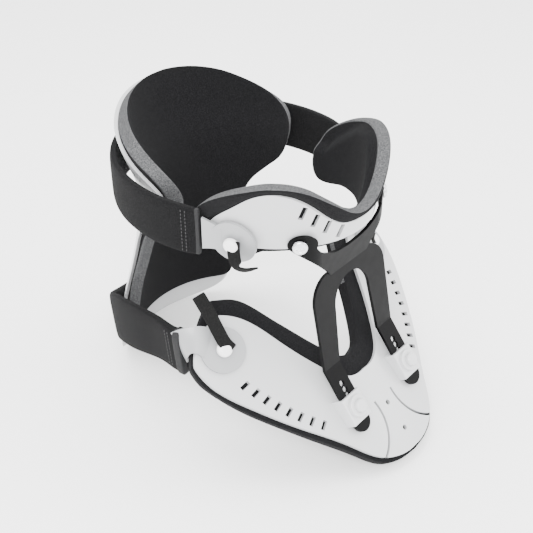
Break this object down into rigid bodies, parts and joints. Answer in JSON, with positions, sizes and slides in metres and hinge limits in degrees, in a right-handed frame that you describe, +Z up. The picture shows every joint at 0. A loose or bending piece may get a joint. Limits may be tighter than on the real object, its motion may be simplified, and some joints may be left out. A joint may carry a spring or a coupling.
{
  "type": "cervical collar",
  "caption": "Open-frame cervical collar with a winged chest plate, sliding yoke, tilting chin cup, back support and padded straps.",
  "frame": {"origin": "middle of the footprint, at the lowest point of the collar", "axes": "+X wearer's left, +Y wearer's back, +Z up; X = 0 is the mirror plane"},
  "size_m": [0.2362, 0.2976, 0.2498],
  "materials": {
    "white_plastic": "smooth moulded white",
    "white_housing": "smooth moulded white",
    "white_button": "smooth moulded white",
    "pale_tab": "pale grey flexible plastic",
    "white_stud": "polished white",
    "black_pad": "brushed black fabric over grey foam",
    "black_webbing": "black hook webbing",
    "black_sleeve": "charcoal padded fabric, stitched",
    "plated_metal": "bright plated steel",
    "black_yoke": "satin black moulded"
  },
  "bodies": {
    "chest": {"chest_plate": "white_plastic", "chest_pad": "black_pad", "clamp_housing_right": "white_housing", "lock_spring_right": "plated_metal", "chest_stud_right": "white_stud", "chest_stud_cap_right": "white_stud", "lower_tab_right": "pale_tab", "lower_pull_right": "black_webbing", "clamp_housing_left": "white_housing", "lock_spring_left": "plated_metal", "chest_stud_left": "white_stud", "chest_stud_cap_left": "white_stud", "lower_tab_left": "pale_tab", "lower_pull_left": "black_webbing", "clamp_rivets": "plated_metal", "lower_strap_right": "black_sleeve", "lower_strap_left": "black_sleeve", "back_pad": "black_pad", "back_shell": "white_plastic", "strap_keeper_lower": "white_plastic", "strap_keeper_upper": "white_plastic"},
    "yoke": {"yoke": "black_yoke"},
    "chin": {"chin_shell": "white_plastic", "chin_pad": "black_pad", "chin_stud_right": "white_stud", "chin_stud_cap_right": "white_stud", "pivot_screw_right": "plated_metal", "pivot_spacer_right": "plated_metal", "pivot_nut_right": "plated_metal", "chin_stud_left": "white_stud", "chin_stud_cap_left": "white_stud", "pivot_screw_left": "plated_metal", "pivot_spacer_left": "plated_metal", "pivot_nut_left": "plated_metal"},
    "upper_straps": {"upper_tab_right": "pale_tab", "upper_pull_right": "black_webbing", "upper_strap_right": "black_sleeve", "upper_tab_left": "pale_tab", "upper_pull_left": "black_webbing", "upper_strap_left": "black_sleeve"},
    "button_right": {"lock_button_right": "white_button"},
    "button_left": {"lock_button_left": "white_button"}
  },
  "joints": [
    {"name": "height_slide", "type": "slide", "parent": "chest", "child": "yoke", "axis": [0, 0.6239, 0.7815], "range_m": [-0.005, 0.01]},
    {"name": "chin_tilt", "type": "hinge", "parent": "yoke", "child": "chin", "pos_m": [0, -0.06885, 0.1859], "axis": [1, 0, 0], "range_deg": [-8, 8]},
    {"name": "strap_swing", "type": "hinge", "parent": "chin", "child": "upper_straps", "pos_m": [0, -0.02645, 0.1844], "axis": [1, 0, 0], "range_deg": [-10.2, 10.2]},
    {"name": "lock_press_right", "type": "slide", "parent": "chest", "child": "button_right", "axis": [0, 0.7815, -0.6239], "range_m": [0, 0.002], "stiffness_N_per_m": 600, "springref_m": -0.001},
    {"name": "lock_press_left", "type": "slide", "parent": "chest", "child": "button_left", "axis": [0, 0.7815, -0.6239], "range_m": [0, 0.002], "stiffness_N_per_m": 600, "springref_m": -0.001}
  ],
  "couplings": [
    {"joint": "strap_swing", "follows": "chin_tilt", "ratio": -1.27}
  ]
}
